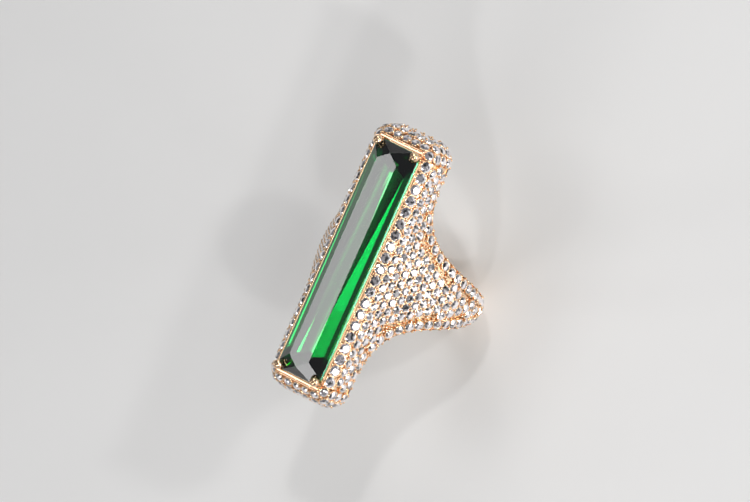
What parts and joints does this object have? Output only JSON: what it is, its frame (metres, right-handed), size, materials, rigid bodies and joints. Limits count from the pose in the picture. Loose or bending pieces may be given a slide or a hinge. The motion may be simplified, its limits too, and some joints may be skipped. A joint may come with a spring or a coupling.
{
  "type": "cocktail ring",
  "caption": "Cocktail ring with a long rectangular green stone in four claws on a body covered in small clear round stones, and a plain rose-gold shank.",
  "frame": {"origin": "centre of the finger hole, in the middle of the shank's width", "axes": "+Y along the finger hole's axis and the long side of the centre stone, +Z out through the stone's table, +X across the ring"},
  "size_m": [0.0222, 0.0356, 0.0275],
  "materials": {
    "rose_gold_polished": "mirror-polished rose gold",
    "rose_gold_pave": "rose gold, bright-cut between raised beads",
    "green_stone": "faceted green stone",
    "clear_stone": "round faceted clear stones"
  },
  "bodies": {
    "root": {"shank": "rose_gold_polished", "collet": "rose_gold_polished", "shell_right": "rose_gold_pave", "shell_left": "rose_gold_pave", "cap_upper": "rose_gold_pave", "cap_lower": "rose_gold_pave", "claw_upper_right": "rose_gold_polished", "claw_upper_left": "rose_gold_polished", "claw_lower_right": "rose_gold_polished", "claw_lower_left": "rose_gold_polished", "centre_stone": "green_stone", "row_stones_right": "clear_stone", "row_stones_left": "clear_stone", "side_stones_right": "clear_stone", "side_stones_left": "clear_stone", "cap_stones_upper": "clear_stone", "cap_stones_lower": "clear_stone"}
  },
  "joints": []
}
